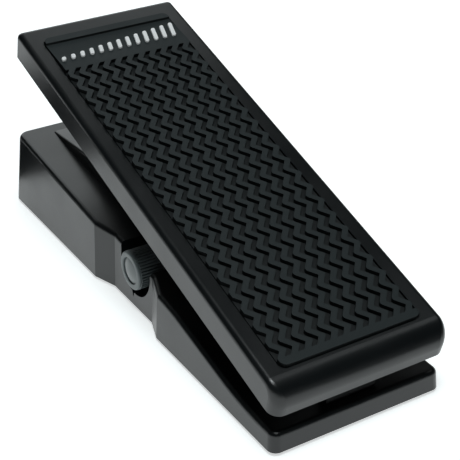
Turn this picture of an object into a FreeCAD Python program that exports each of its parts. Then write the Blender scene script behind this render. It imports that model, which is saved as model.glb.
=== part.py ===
"""Volume pedal: a hollow base, a rocking treadle with a rubber tread, a geared sensor and a range knob.

Lengths are in millimetres. Shapes are drawn in two working frames. The base frame has y from the heel
end and z from the base shell's bottom edge. The treadle frame has y along the treadle from its heel
corner and z square to it. Both are placed in the row frame at the end of each part's function.
"""
import FreeCAD, Part
import math
import os
import re
import Sketcher

Vector = FreeCAD.Vector

SIZES = [
    # name, value, what it is
    ("base_length", 255.0, "base shell, heel to toe"),
    ("base_half", 41.4, "half the base's width at its bottom edge"),
    ("waist_half", 37.3, "half the base's width at the waist"),
    ("waist_heel", 95.0, "where the side turns in, from the heel"),
    ("waist_low", 107.0, "heel end of the waist's flat"),
    ("waist_high", 143.5, "toe end of the waist's flat"),
    ("waist_toe", 156.6, "where the side is full width again"),
    ("side_draft", 3.43, "lean of the base's walls, degrees"),
    ("heel_rim", 9.1, "height of the base at the heel"),
    ("rim_rise", 24.0, "where the rim starts to climb"),
    ("rim_knee", 80.0, "where the climb eases"),
    ("rim_knee_high", 20.9, "rim height at the knee"),
    ("toe_rim", 38.7, "rim height at the toe"),
    ("toe_lean", 6.0, "how far the toe wall leans in at the rim"),
    ("heel_corner", 4.0, "radius of the base's heel corners"),
    ("toe_corner", 6.0, "radius of the base's toe corners"),
    ("rim_round", 2.2, "rounding of the base's top edge"),
    ("wall", 2.5, "wall of the mouldings"),
    ("plate_ledge", 2.2, "rim of the shell around the bottom plate"),
    ("plate_gap", 0.3, "clearance around the bottom plate"),
    ("plate_low", 0.6, "underside of the bottom plate"),
    ("plate_thick", 1.2, "bottom plate sheet"),
    ("foot_height", 1.5, "how far the feet stand out below the shell"),
    ("foot_radius", 8.0, "rubber foot"),
    ("spine_half", 22.0, "half the width of the raised spine"),
    ("spine_wall", 4.0, "wall of the spine and of the pivot tower"),
    ("spine_toe", 240.0, "toe end of the spine"),
    ("spine_toe_high", 38.3, "spine height at the toe"),
    ("spine_tower_high", 46.4, "spine height where it meets the tower"),
    ("tower_radius", 13.0, "pivot tower about the pivot"),
    ("pivot_y", 118.0, "treadle pivot from the heel"),
    ("pivot_z", 47.0, "treadle pivot height"),
    ("shaft_radius", 4.0, "pivot shaft"),
    ("shaft_half", 31.0, "half the pivot shaft's length"),
    ("running_gap", 0.04, "radial clearance of turning fits"),
    ("seat_gap", 0.02, "radial clearance of fixed fits"),
    ("bush_radius", 5.0, "pivot bush barrel"),
    ("flange_radius", 7.0, "pivot bush flange"),
    ("flange_thick", 1.0, "pivot bush flange"),
    ("washer_thick", 0.35, "friction washer"),
    ("ear_inner", 23.45, "inner face of each treadle ear"),
    ("ear_thick", 5.0, "treadle ear"),
    ("ear_radius", 8.0, "treadle ear's round end"),
    ("well_y", 123.1, "centre of the knob's well"),
    ("well_z", 20.5, "centre of the well's round floor"),
    ("well_radius", 14.0, "round floor of the well"),
    ("knob_y", 122.5, "range knob axis"),
    ("knob_z", 19.8, "range knob axis"),
    ("knob_radius", 9.4, "range knob"),
    ("knob_face", 39.3, "outer face of the range knob, from the middle"),
    ("knob_length", 13.0, "range knob"),
    ("knob_rim", 1.6, "smooth rim at the knob's outer end"),
    ("knob_ridges", 40, "grip ridges round the knob"),
    ("cap_radius", 6.2, "disc in the knob's face"),
    ("pot_radius", 8.2, "potentiometer can"),
    ("pot_depth", 7.5, "potentiometer can"),
    ("pot_shaft", 3.0, "potentiometer shaft radius"),
    ("pot_bush", 3.5, "potentiometer bush radius"),
    ("gear_module", 1.0, "tooth size of the gears"),
    ("sector_teeth", 60, "teeth on the sector's full circle"),
    ("pinion_teeth", 12, "teeth on the pinion"),
    ("gear_line", 25.0, "direction from the pivot to the pinion, degrees from straight down"),
    ("gear_thick", 4.0, "sector gear"),
    ("treadle_length", 241.8, "treadle"),
    ("treadle_half", 42.1, "half the treadle's width"),
    ("treadle_high", 13.7, "treadle"),
    ("treadle_tilt", 16.85, "lean of the treadle at rest, toe up, degrees"),
    ("pivot_run", 122.26, "pivot from the treadle's heel corner, along it"),
    ("pivot_drop", 7.04, "pivot below the treadle's underside"),
    ("heel_round", 9.5, "rounding of the treadle's heel edge"),
    ("top_round", 2.75, "rounding of the treadle's other top edges"),
    ("treadle_heel_corner", 5.5, "radius of the treadle's heel corners"),
    ("pad_half", 33.5, "half the tread pad's width"),
    ("pad_heel", 11.3, "heel edge of the tread pad"),
    ("pad_toe", 230.4, "toe edge of the tread pad"),
    ("pad_corner", 3.0, "corner radius of the tread pad"),
    ("pad_seat", 1.5, "depth of the recess that holds the pad"),
    ("pad_thick", 3.0, "tread pad"),
    ("pad_gap", 0.4, "gap between the pad and its recess"),
    ("panel_heel", 208.7, "heel edge of the sunk emblem panel"),
    ("panel_toe", 226.4, "toe edge of the sunk emblem panel"),
    ("panel_depth", 1.3, "depth of the emblem panel"),
]
HEEL_TO_ORIGIN = 126.2  # from the base's heel end to the middle of the whole length
EASE = 1.0  # how far a cutting shape runs past the face that it cuts

doc = FreeCAD.newDocument("VolumePedal")
dims = doc.addObject("Spreadsheet::Sheet", "dims")
for row, (name, value, note) in enumerate(SIZES, 1):
    dims.set(f"A{row}", note)
    dims.set(f"B{row}", str(value))
    dims.setAlias(f"B{row}", name)
doc.recompute()
NAMES = {name for name, _, _ in SIZES}
parts = []


# ---------------------------------------------------------------- helpers

def size(name):
    """A driving dimension as a number."""
    return float(dims.get(name))


def cell(formula):
    """A formula in the sheet's names, as an expression that reads the sheet."""
    return re.sub(r"[a-z_]+", lambda word: f"dims.{word[0]}" if word[0] in NAMES else word[0], str(formula))


def base_frame():
    """Where the base frame lies in the row frame."""
    return FreeCAD.Placement(Vector(0, -HEEL_TO_ORIGIN, size("foot_height")), FreeCAD.Rotation())


def treadle_frame():
    """Where the treadle frame lies in the row frame, at rest."""
    turn = FreeCAD.Rotation(Vector(1, 0, 0), size("treadle_tilt"))
    pivot = Vector(0, size("pivot_y"), size("pivot_z"))
    corner = pivot - turn.multVec(Vector(0, size("pivot_run"), -size("pivot_drop")))
    return base_frame().multiply(FreeCAD.Placement(corner, turn))


def finish(item, label, frame):
    """Name a finished sub-part, put it in the row frame and list it for writing."""
    item.Label = label
    item.Placement = frame
    parts.append(item)
    return item


def new_body(name):
    return doc.addObject("PartDesign::Body", name)


def new_sketch(body, plane, lift):
    """An empty sketch on one of the body's origin planes, raised by a formula."""
    sketch = body.newObject("Sketcher::SketchObject", "Sketch")
    support = [item for item in body.Origin.OriginFeatures if item.Role == plane][0]
    sketch.AttachmentSupport = [(support, "")]
    sketch.MapMode = "FlatFace"
    sketch.setExpression("AttachmentOffset.Base.z", cell(lift))
    return sketch


def drive(sketch, kind, geometry, point, formula, start):
    """One driving dimension of a sketch, bound to the sheet."""
    if kind == "Radius":
        index = sketch.addConstraint(Sketcher.Constraint(kind, geometry, start))
    else:
        index = sketch.addConstraint(Sketcher.Constraint(kind, -1, 1, geometry, point, start))
    sketch.renameConstraint(index, f"size{index}")
    sketch.setExpression(f"Constraints.size{index}", cell(formula))


def polygon(body, plane, corners, lift=0):
    """A closed sketch of straight edges through corners, each a pair of formulas."""
    sketch = new_sketch(body, plane, lift)
    count = len(corners)
    rough = [Vector(math.cos(2 * math.pi * i / count), math.sin(2 * math.pi * i / count), 0) * 50
             for i in range(count)]
    for i in range(count):
        sketch.addGeometry(Part.LineSegment(rough[i], rough[(i + 1) % count]))
    for i in range(count):
        sketch.addConstraint(Sketcher.Constraint("Coincident", i, 2, (i + 1) % count, 1))
    for i, (across, up) in enumerate(corners):
        drive(sketch, "DistanceX", i, 1, across, rough[i].x)
        drive(sketch, "DistanceY", i, 1, up, rough[i].y)
    return sketch


def box_corners(x_low, x_high, y_low, y_high):
    return [(x_low, y_low), (x_high, y_low), (x_high, y_high), (x_low, y_high)]


def hexagon(across_flats, across, up):
    """The corners of a nut's outline about a centre."""
    return [(f"{across} + {across_flats} / sqrt(3) * cos({60 * i})",
             f"{up} + {across_flats} / sqrt(3) * sin({60 * i})") for i in range(6)]


def circles(body, plane, rounds, lift=0):
    """A sketch of circles, each given by formulas for its centre and radius."""
    sketch = new_sketch(body, plane, lift)
    for i, (across, up, radius) in enumerate(rounds):
        sketch.addGeometry(Part.Circle(Vector(0, 0, 0), Vector(0, 0, 1), 5))
        drive(sketch, "DistanceX", i, 3, across, 1)
        drive(sketch, "DistanceY", i, 3, up, 1)
        drive(sketch, "Radius", i, 0, radius, 5)
    return sketch


def pad(body, sketch, length, both_ways=False, taper=None):
    """Raise a sketch into a solid, along its normal or evenly both ways."""
    feature = body.newObject("PartDesign::Pad", "Pad")
    feature.Profile = sketch
    feature.SideType = "Symmetric" if both_ways else "One side"
    feature.setExpression("Length", cell(length))
    if taper:
        feature.setExpression("TaperAngle", cell(taper))
    doc.recompute()
    return feature


def pocket(body, sketch, length, both_ways=False, along=False):
    """Cut a sketch's shape away, against its normal, along it, or evenly both ways."""
    before = body.Shape.Volume
    feature = body.newObject("PartDesign::Pocket", "Pocket")
    feature.Profile = sketch
    feature.SideType = "Symmetric" if both_ways else "One side"
    feature.Reversed = along
    feature.setExpression("Length", cell(length))
    doc.recompute()
    if body.Shape.Volume > before - 1e-3:
        raise RuntimeError(f"{body.Name}: a pocket cuts nothing")
    return feature


def round_edges(body, radius, wanted):
    """Round the edges of the body's tip whose middle point and edge pass the test."""
    tip = body.Tip
    names = [f"Edge{i}" for i, edge in enumerate(tip.Shape.Edges, 1) if wanted(middle(edge), edge)]
    if not names:
        raise RuntimeError(f"{body.Name}: no edge to round")
    feature = body.newObject("PartDesign::Fillet", "Fillet")
    feature.Base = (tip, names)
    feature.setExpression("Radius", cell(radius))
    doc.recompute()
    return feature


def middle(edge):
    return edge.valueAt((edge.FirstParameter + edge.LastParameter) / 2)


def near(value, target, within=0.05):
    return abs(value - target) < within


def runs_along(edge, axis):
    """Whether a straight edge runs along an axis."""
    if not isinstance(edge.Curve, (Part.Line, Part.LineSegment)):
        return False
    return abs(edge.tangentAt(edge.FirstParameter).dot(axis)) > 0.999


X_AXIS = Vector(1, 0, 0)
Z_AXIS = Vector(0, 0, 1)


def fuse(name, *items):
    joined = doc.addObject("Part::MultiFuse", name)
    joined.Shapes = list(items)
    joined.Refine = True
    doc.recompute()
    return joined


def cut(name, item, tool):
    rest = doc.addObject("Part::Cut", name)
    rest.Base = item
    rest.Tool = tool
    rest.Refine = True
    doc.recompute()
    if rest.Shape.Volume > item.Shape.Volume - 1e-3:
        raise RuntimeError(f"{name}: the tool cuts nothing")
    return rest


def rod(name, plane, rounds, start, length):
    """A solid raised from circles on a plane: a disc, ring, tube or several pins."""
    body = new_body(name)
    pad(body, circles(body, plane, rounds, start), length)
    return body


def block(name, plane, corners, start, length):
    """A solid raised from an outline on a plane."""
    body = new_body(name)
    pad(body, polygon(body, plane, corners, start), length)
    return body


def copies(label, seed, places, frame):
    """Identical small pieces in one node: the seed's solid at each place."""
    group = doc.addObject("Part::Feature", label)
    group.Shape = Part.makeCompound([seed.Shape.translated(place) for place in places])
    return finish(group, label, frame)


def screw(name, head_radius, head_high, shank_radius, shank_length):
    """A screw with a cross recess, head up, with its shank's top at the origin."""
    body = new_body(name)
    pad(body, circles(body, "XY_Plane", [(0, 0, head_radius)]), head_high)
    pad(body, circles(body, "XY_Plane", [(0, 0, shank_radius)], -shank_length), shank_length + 0.1)
    slot = 0.35 * head_radius
    arm = 0.65 * head_radius
    for wide, long in ((slot / 2, arm), (arm, slot / 2)):
        recess = polygon(body, "XY_Plane", box_corners(-wide, wide, -long, long), head_high)
        pocket(body, recess, 0.6 * head_high)
    return body


# ---------------------------------------------------------------- base

BASE_OUTLINE = [("base_half", "0"), ("base_half", "waist_heel"), ("waist_half", "waist_low"),
                ("waist_half", "waist_high"), ("base_half", "waist_toe"), ("base_half", "base_length")]


def inset_outline(gap):
    """The base's plan outline, moved in by a gap, right side up and left side down."""
    half = [(f"{x} - ({gap})", f"{y} + ({gap})" if y == "0" else y) for x, y in BASE_OUTLINE]
    half[-1] = (half[-1][0], f"base_length - ({gap})")
    return half + [(f"-({x})", y) for x, y in reversed(half)]


def base_form():
    """The base's outside: a drafted plan outline, cut off along the rim and the toe wall."""
    body = new_body("BaseForm")
    outline = polygon(body, "XY_Plane", inset_outline("0"))
    pad(body, outline, "toe_rim + 20", taper="-side_draft")
    rim_y = "base_length - toe_lean"
    above = [("-20", "heel_rim"), ("rim_rise", "heel_rim"), ("rim_knee", "rim_knee_high"),
             (rim_y, "toe_rim"), ("base_length", "0"), ("base_length + 20", "0"),
             ("base_length + 20", "toe_rim + 30"), ("-20", "toe_rim + 30")]
    pocket(body, polygon(body, "YZ_Plane", above), "3 * base_half", both_ways=True)
    for radius, corner_y in (("heel_corner", 0), ("toe_corner", size("base_length"))):
        round_edges(body, radius, lambda point, edge: abs(point.y - corner_y) < 8
                    and abs(edge.tangentAt(edge.FirstParameter).z) > 0.98)
    round_edges(body, "160", lambda point, edge: runs_along(edge, X_AXIS)
                and near(point.y, size("rim_rise")) and near(point.z, size("heel_rim")))
    round_edges(body, "60", lambda point, edge: runs_along(edge, X_AXIS)
                and near(point.y, size("rim_knee")))

    def on_rim(point, edge):
        if point.z < size("heel_rim") - 1:
            return False
        across = runs_along(edge, X_AXIS)
        upright = abs(edge.tangentAt(edge.FirstParameter).z) > 0.9
        return not upright and (not across or point.y < 1 or point.y > size("base_length") - 8)

    round_edges(body, "rim_round", on_rim)
    return body


def knob_well():
    """The cut that holds the range knob: a round floor, open above, with a notch as the index."""
    body = new_body("KnobWell")
    start = "-base_half - 5"
    depth = "base_half + 5 - spine_half"
    pad(body, circles(body, "YZ_Plane", [("well_y", "well_z", "well_radius")], start), depth)
    sides = box_corners("well_y - well_radius", "well_y + well_radius", "well_z", "well_z + 30")
    pad(body, polygon(body, "YZ_Plane", sides, start), depth)
    notch = [("well_y + 0.4", "well_z - well_radius + 2"), ("well_y + 1.9", "well_z - well_radius - 2.75"),
             ("well_y + 3.4", "well_z - well_radius + 2")]
    pad(body, polygon(body, "YZ_Plane", notch, start), "base_half + 5 - waist_half + 4")
    return body


def spine():
    """The raised middle of the base with the pivot tower."""
    body = new_body("Spine")
    side = [("spine_toe", "spine_toe_high - 6"), ("spine_toe", "spine_toe_high"),
            ("pivot_y + tower_radius", "spine_tower_high"), ("pivot_y + tower_radius", "pivot_z"),
            ("pivot_y - tower_radius", "pivot_z"), ("pivot_y - tower_radius", "10")]
    pad(body, polygon(body, "YZ_Plane", side), "2 * spine_half", both_ways=True)
    pad(body, circles(body, "YZ_Plane", [("pivot_y", "pivot_z", "tower_radius")]), "2 * spine_half",
        both_ways=True)
    round_edges(body, "1.5", lambda point, edge: near(abs(point.x), size("spine_half"))
                and point.z > size("spine_toe_high") - 0.01 and not runs_along(edge, Z_AXIS))
    return body


def base_core():
    """The base's inside: under the rim, but not where the knob's well is."""
    body = new_body("BaseCore")
    inset = "plate_ledge + wall"
    outline = inset_outline(inset)
    keep = "spine_wall - spine_half"
    well_low = "well_y - well_radius - wall - 0.5"
    well_high = "well_y + well_radius + wall + 0.3"
    left = [(f"-(waist_half - ({inset}))", well_high), (keep, well_high), (keep, well_low),
            (f"-(waist_half - ({inset}))", well_low)]
    outline = outline[:9] + left + outline[10:]
    pad(body, polygon(body, "XY_Plane", outline, -EASE), "toe_rim + 5")
    above = [("-20", "heel_rim - wall"), ("rim_rise", "heel_rim - wall"),
             ("rim_knee", "rim_knee_high - wall"), ("base_length - toe_lean - wall", "toe_rim - wall"),
             ("base_length - wall - plate_ledge", "0"), ("base_length + 20", "0"),
             ("base_length + 20", "toe_rim + 30"), ("-20", "toe_rim + 30")]
    pocket(body, polygon(body, "YZ_Plane", above), "3 * base_half", both_ways=True)
    return body


def spine_core():
    """The inside of the spine and the tower, open into the base."""
    body = new_body("SpineCore")
    inner = "tower_radius - wall"
    side = [("spine_toe - wall", "-1"), ("spine_toe - wall", "spine_toe_high - wall"),
            ("pivot_y + tower_radius", "spine_tower_high - wall"), (f"pivot_y + {inner}", "pivot_z"),
            (f"pivot_y - ({inner})", "pivot_z"), (f"pivot_y - ({inner})", "-1")]
    width = "2 * (spine_half - spine_wall)"
    pad(body, polygon(body, "YZ_Plane", side), width, both_ways=True)
    pad(body, circles(body, "YZ_Plane", [("pivot_y", "pivot_z", inner)]), width, both_ways=True)
    return body


BOSS_PLACES = [(x, y) for y in (14, 92, 236) for x in (-28, 28)]
SCREW_HOLE = 1.25
JACK_HEIGHT = 19.0
JACK_FACE = 250.3
TOE_STOP = (228.8, 238.2, 37.9)  # heel end, toe end and floor of the toe buffer's seat
HEEL_STOP = (6.0, 13.0, 8.3)  # the same for the heel buffer
STOP_HALF = 12.0


def base_shell():
    outside = fuse("BaseOutside", cut("BaseWithWell", base_form(), knob_well()), spine())
    posts = new_body("Posts")
    pad(posts, circles(posts, "XY_Plane", [(x, y, 4) for x, y in BOSS_PLACES], "plate_low + plate_thick"), 60)
    jack_post = rod("JackPost", "XZ_Plane", [(0, JACK_HEIGHT, 11)], -JACK_FACE - 1, 4.8)
    hollow = cut("BaseHollow", fuse("BaseInside", base_core(), spine_core()),
                 fuse("BaseKept", posts, jack_post))
    rebate = block("PlateRebate", "XY_Plane", inset_outline("plate_ledge"), -EASE,
                   f"plate_low + plate_thick + {EASE}")
    pilots = rod("Pilots", "XY_Plane", [(x, y, SCREW_HOLE) for x, y in BOSS_PLACES], 0, 7)
    bush_bore = new_body("BushBore")
    pad(bush_bore, circles(bush_bore, "YZ_Plane", [("pivot_y", "pivot_z", "bush_radius + seat_gap")]),
        "2 * spine_half + 2", both_ways=True)
    pot_hole = rod("PotHole", "YZ_Plane", [("knob_y", "knob_z", "pot_bush + 0.1")],
                   "-spine_half - 1", "spine_wall + 2")
    jack_hole = rod("JackHole", "XZ_Plane", [(0, JACK_HEIGHT, 4.6)], -JACK_FACE - 5, 12)
    jack_seat = rod("JackSeat", "XZ_Plane", [(0, JACK_HEIGHT, 9.5)], -JACK_FACE - 8, 8)
    seats = [block("StopSeat", "XY_Plane", box_corners(-STOP_HALF, STOP_HALF, low, high), floor, 5)
             for low, high, floor in (TOE_STOP, HEEL_STOP)]
    tools = fuse("BaseCuts", hollow, rebate, pilots, bush_bore, pot_hole, jack_hole, jack_seat, *seats)
    return finish(cut("BaseShell", outside, tools), "base_shell", base_frame())


SWITCH_Y = 180.0
SLIDER_HALF = 1.5
SLIDER_TRAVEL = 3.0
BRACKET_PLACES = [(15.5, 127), (15.5, 140)]
SPACER_PLACES = [(x, y) for y in (172, 210) for x in (-21, 21)]
SPACER_HOLE = 1.3


def bottom_plate():
    body = new_body("BottomPlate")
    outline = polygon(body, "XY_Plane", inset_outline("plate_ledge + plate_gap"), "plate_low")
    pad(body, outline, "plate_thick")
    holes = [(x, y, 1.7) for x, y in BOSS_PLACES]
    holes += [(x, y, 1.5) for x, y in BRACKET_PLACES + SPACER_PLACES]
    pocket(body, circles(body, "XY_Plane", holes), 5, along=True)
    slot = box_corners(-2.2, 2.2, SWITCH_Y - 2, SWITCH_Y + SLIDER_TRAVEL + 2)
    pocket(body, polygon(body, "XY_Plane", slot), 5, along=True)
    return finish(body, "bottom_plate", base_frame())


def feet():
    for side, x in (("left", -29), ("right", 29)):
        for end, y in (("heel", 32), ("toe", 216)):
            foot = rod("Foot", "XY_Plane", [(x, y, "foot_radius")], "-foot_height", "foot_height + plate_low")
            round_edges(foot, "0.6", lambda point, edge: point.z < 0)
            finish(foot, f"foot_{end}_{side}", base_frame())


def bottom_screws():
    seed = screw("BottomScrew", 2.8, 1.3, 1.2, 5.8)
    seed.Placement = FreeCAD.Placement(Vector(0, 0, 0), FreeCAD.Rotation(X_AXIS, 180))
    doc.recompute()
    low = size("plate_low")
    copies("bottom_screws", seed, [Vector(x, y, low) for x, y in BOSS_PLACES], base_frame())


def buffers():
    for name, (low, high, floor), top in (("toe_buffer", TOE_STOP, 43.1), ("heel_buffer", HEEL_STOP, 17.5)):
        outline = box_corners(-STOP_HALF + 0.1, STOP_HALF - 0.1, low + 0.1, high - 0.1)
        body = block("Buffer", "XY_Plane", outline, floor, top - floor)
        round_edges(body, "1", lambda point, edge: near(point.z, top))
        finish(body, name, base_frame())


# ---------------------------------------------------------------- pivot

def pivot_bushes():
    pivot = ("pivot_y", "pivot_z")
    for side, barrel, flange in (("right", "spine_half - spine_wall", "spine_half"),
                                 ("left", "-spine_half", "-spine_half - flange_thick")):
        body = rod("Bush", "YZ_Plane", [(*pivot, "bush_radius")], barrel, "spine_wall")
        pad(body, circles(body, "YZ_Plane", [(*pivot, "flange_radius")], flange), "flange_thick")
        pocket(body, circles(body, "YZ_Plane", [(*pivot, "shaft_radius + running_gap")]),
               "3 * spine_half", both_ways=True)
        finish(body, f"pivot_bush_{side}", base_frame())


def friction_washers():
    rounds = [("pivot_y", "pivot_z", "flange_radius - 0.2"), ("pivot_y", "pivot_z", "shaft_radius + 0.1")]
    for side, start in (("right", "spine_half + flange_thick + 0.05"),
                        ("left", "-spine_half - flange_thick - 0.05 - washer_thick")):
        finish(rod("Washer", "YZ_Plane", rounds, start, "washer_thick"), f"friction_washer_{side}",
               base_frame())


CLIP_START = "ear_inner + ear_thick + 0.1"
GROOVE_DEPTH = 0.7


def pivot_shaft():
    body = new_body("PivotShaft")
    pad(body, circles(body, "YZ_Plane", [("pivot_y", "pivot_z", "shaft_radius")]), "2 * shaft_half",
        both_ways=True)
    for start in (CLIP_START, f"-({CLIP_START}) - 0.8"):
        groove = circles(body, "YZ_Plane", [("pivot_y", "pivot_z", "shaft_radius + 1"),
                                            ("pivot_y", "pivot_z", f"shaft_radius - {GROOVE_DEPTH}")], start)
        pocket(body, groove, 0.8, along=True)
    round_edges(body, "0.5", lambda point, edge: near(abs(point.x), size("shaft_half")))
    finish(body, "pivot_shaft", base_frame())


def retaining_clips():
    inner = f"shaft_radius - {GROOVE_DEPTH} + 0.02"
    for side, start in (("right", f"{CLIP_START} + 0.05"), ("left", f"-({CLIP_START}) - 0.75")):
        rounds = [("pivot_y", "pivot_z", "shaft_radius + 2.2"), ("pivot_y", "pivot_z", inner)]
        body = rod("Clip", "YZ_Plane", rounds, start, 0.7)
        mouth = box_corners("pivot_y - 1.6", "pivot_y + 1.6", "pivot_z - 8", "pivot_z")
        pocket(body, polygon(body, "YZ_Plane", mouth), "3 * spine_half", both_ways=True)
        finish(body, f"shaft_clip_{side}", base_frame())


# ---------------------------------------------------------------- treadle

def treadle_form():
    """The treadle's outside, with a round heel edge and softer top edges."""
    body = new_body("TreadleForm")
    side = box_corners("0", "treadle_length", "0", "treadle_high")
    pad(body, polygon(body, "YZ_Plane", side), "2 * treadle_half", both_ways=True)
    top = size("treadle_high")
    round_edges(body, "heel_round", lambda point, edge: near(point.y, 0) and near(point.z, top)
                and runs_along(edge, X_AXIS))
    round_edges(body, "top_round", lambda point, edge: near(point.y, size("treadle_length"))
                and near(point.z, top) and runs_along(edge, X_AXIS))
    heel, sides = size("treadle_heel_corner"), size("top_round")
    rounded = doc.addObject("Part::Fillet", "TreadleRounded")
    rounded.Base = body
    edges = []
    for i, edge in enumerate(body.Shape.Edges, 1):
        point = middle(edge)
        if not near(abs(point.x), size("treadle_half")) or near(point.z, 0):
            continue
        if point.y > size("heel_round") / 2:
            edges.append((i, sides, sides))
        elif runs_along(edge, Z_AXIS):
            edges.append((i, heel, heel))
        else:
            low_first = edge.valueAt(edge.FirstParameter).z < point.z
            edges.append((i, heel, sides) if low_first else (i, sides, heel))
    rounded.Edges = edges
    doc.recompute()
    return rounded


def treadle_core():
    """The treadle's inside, open below."""
    body = new_body("TreadleCore")
    ceiling = "treadle_high - wall"
    side = [("wall + 0.3", "-1"), ("wall + 0.3", "heel_round / 2"),
            ("heel_round * 0.65", "treadle_high - 4.6"),
            ("heel_round + 2", ceiling), ("treadle_length - wall - 1.2", ceiling),
            ("treadle_length - wall", "treadle_high - wall - 1.2"), ("treadle_length - wall", "-1")]
    pad(body, polygon(body, "YZ_Plane", side), "2 * (treadle_half - wall)", both_ways=True)
    return body


def treadle_ears():
    ears = []
    for start in ("ear_inner", "-ear_inner - ear_thick"):
        ear = rod("Ear", "YZ_Plane", [("pivot_run", "-pivot_drop", "ear_radius")], start, "ear_thick")
        web = box_corners("pivot_run - ear_radius", "pivot_run + ear_radius", "-pivot_drop",
                          "treadle_high - wall + 0.3")
        pad(ear, polygon(ear, "YZ_Plane", web, start), "ear_thick")
        ears.append(ear)
    return ears


def treadle_ribs():
    """Stiffening ribs under the top, and the deep heel rib that meets the heel buffer."""
    root = "treadle_high - wall + 0.3"
    ribs = []
    for x in (-26, 26):
        outline = box_corners(x - 1, x + 1, 12, "treadle_length - 14")
        ribs.append(block("LongRib", "XY_Plane", outline, "treadle_high / 2", f"{root} - treadle_high / 2"))
    for y, low in ((9, 0.6), (60, 6.5), (180, 6.5), (226, 6.5)):
        outline = box_corners("-(treadle_half - wall + 0.3)", "treadle_half - wall + 0.3", y, y + 2.2)
        ribs.append(block("CrossRib", "XY_Plane", outline, low, f"{root} - {low}"))
    return ribs


def pad_recess():
    body = new_body("PadRecess")
    gap = "pad_gap"
    outline = box_corners(f"-pad_half - {gap}", f"pad_half + {gap}", f"pad_heel - {gap}", f"pad_toe + {gap}")
    pad(body, polygon(body, "XY_Plane", outline, "treadle_high - pad_seat"), 10)
    round_edges(body, f"pad_corner + {gap}", lambda point, edge: runs_along(edge, Z_AXIS))
    return body


def treadle_shell():
    walls = cut("TreadleWalls", treadle_form(), treadle_core())
    solid = fuse("TreadleSolid", walls, *treadle_ears(), *treadle_ribs())
    bore = new_body("EarBore")
    pad(bore, circles(bore, "YZ_Plane", [("pivot_run", "-pivot_drop", "shaft_radius + seat_gap")]),
        "2 * treadle_half", both_ways=True)
    tools = fuse("TreadleCuts", pad_recess(), bore)
    finish(cut("TreadleShell", solid, tools), "treadle_shell", treadle_frame())


def tread_pad():
    """The rubber tread as a plain slab whose emblem panel ramps down towards the toe."""
    body = new_body("TreadPad")
    outline = box_corners("-pad_half", "pad_half", "pad_heel", "pad_toe")
    pad(body, polygon(body, "XY_Plane", outline, "treadle_high - pad_seat"), "pad_thick")
    round_edges(body, "pad_corner", lambda point, edge: runs_along(edge, Z_AXIS))
    top = "treadle_high - pad_seat + pad_thick"
    ramp = [("panel_heel", top), ("panel_toe", f"{top} - panel_depth"), ("panel_toe", f"{top} + {EASE}"),
            ("panel_heel", f"{top} + {EASE}")]
    pocket(body, polygon(body, "YZ_Plane", ramp), "2 * pad_half + 2", both_ways=True)
    finish(body, "tread_pad", treadle_frame())


EMBLEM_BARS = 13
EMBLEM_PITCH = 4.9
EMBLEM_BAR = 2.2
EMBLEM_START = 2.6  # the bars' heel ends, up the ramp
EMBLEM_SHORT = 2.6
EMBLEM_GROWTH = 0.68
EMBLEM_RAISED = 1.0
EMBLEM_SHIFT = 1.4  # half of what the longest bar leans across
EMBLEM_SLANT = 0.27  # how far a bar leans across for each millimetre of its height


def pad_emblem():
    """A row of slanted bars that grow like a level scale, standing on the panel's ramp."""
    ramp_angle = math.degrees(math.atan2(size("panel_depth"), size("panel_toe") - size("panel_heel")))
    on_ramp = FreeCAD.Placement(
        Vector(0, size("panel_heel"), size("treadle_high") - size("pad_seat") + size("pad_thick")),
        FreeCAD.Rotation(X_AXIS, -ramp_angle))
    group = []
    for i in range(EMBLEM_BARS):
        left = (i - (EMBLEM_BARS - 1) / 2) * EMBLEM_PITCH - EMBLEM_BAR / 2 - EMBLEM_SHIFT
        high = EMBLEM_SHORT + i * EMBLEM_GROWTH
        lean = EMBLEM_SLANT * high
        corners = [(left, EMBLEM_START), (left + EMBLEM_BAR, EMBLEM_START),
                   (left + EMBLEM_BAR + lean, EMBLEM_START + high), (left + lean, EMBLEM_START + high)]
        group.append(block("EmblemBar", "XY_Plane", corners, 0, EMBLEM_RAISED))
    emblem = doc.addObject("Part::Compound", "Emblem")
    emblem.Links = group
    doc.recompute()
    finish(emblem, "pad_emblem", treadle_frame().multiply(on_ramp))


# ---------------------------------------------------------------- range knob and its potentiometer

def range_knob():
    """A ridged knob: a turned blank with a smooth rim and a dished face, then a groove all round."""
    knob = ("knob_y", "knob_z")
    body = rod("RangeKnob", "YZ_Plane", [(*knob, "knob_radius")], "-knob_face", "knob_length")
    face = -size("knob_face")
    round_edges(body, "0.9", lambda point, edge: near(point.x, face))
    seat = circles(body, "YZ_Plane", [(*knob, "cap_radius + 0.25")], "-knob_face")
    pocket(body, seat, 2.0, along=True)
    bore = circles(body, "YZ_Plane", [(*knob, "pot_shaft + seat_gap")], "-knob_face")
    pocket(body, bore, "knob_length + 1", along=True)
    depth = 0.8
    groove = [("knob_y - 0.55", "knob_z + knob_radius + 0.2"),
              ("knob_y + 0.55", "knob_z + knob_radius + 0.2"),
              ("knob_y", f"knob_z + knob_radius - {depth}")]
    cutter = pocket(body, polygon(body, "YZ_Plane", groove, "-knob_face + knob_rim"), "knob_length + 1",
                    along=True)
    around = body.newObject("PartDesign::PolarPattern", "Ridges")
    around.Originals = [cutter]
    centre = circles(body, "YZ_Plane", [(*knob, 1)])
    around.Axis = (centre, ["N_Axis"])
    around.Angle = 360
    around.setExpression("Occurrences", cell("knob_ridges"))
    body.Tip = around
    doc.recompute()
    finish(body, "range_knob", base_frame())


def knob_cap():
    """The dished disc in the knob's face."""
    knob = ("knob_y", "knob_z")
    body = rod("KnobCap", "YZ_Plane", [(*knob, "cap_radius")], "-knob_face + 0.5", 1.4)
    pocket(body, circles(body, "YZ_Plane", [(*knob, "cap_radius - 0.9")], "-knob_face + 0.5"), 0.5,
           along=True)
    finish(body, "knob_cap", base_frame())


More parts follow.
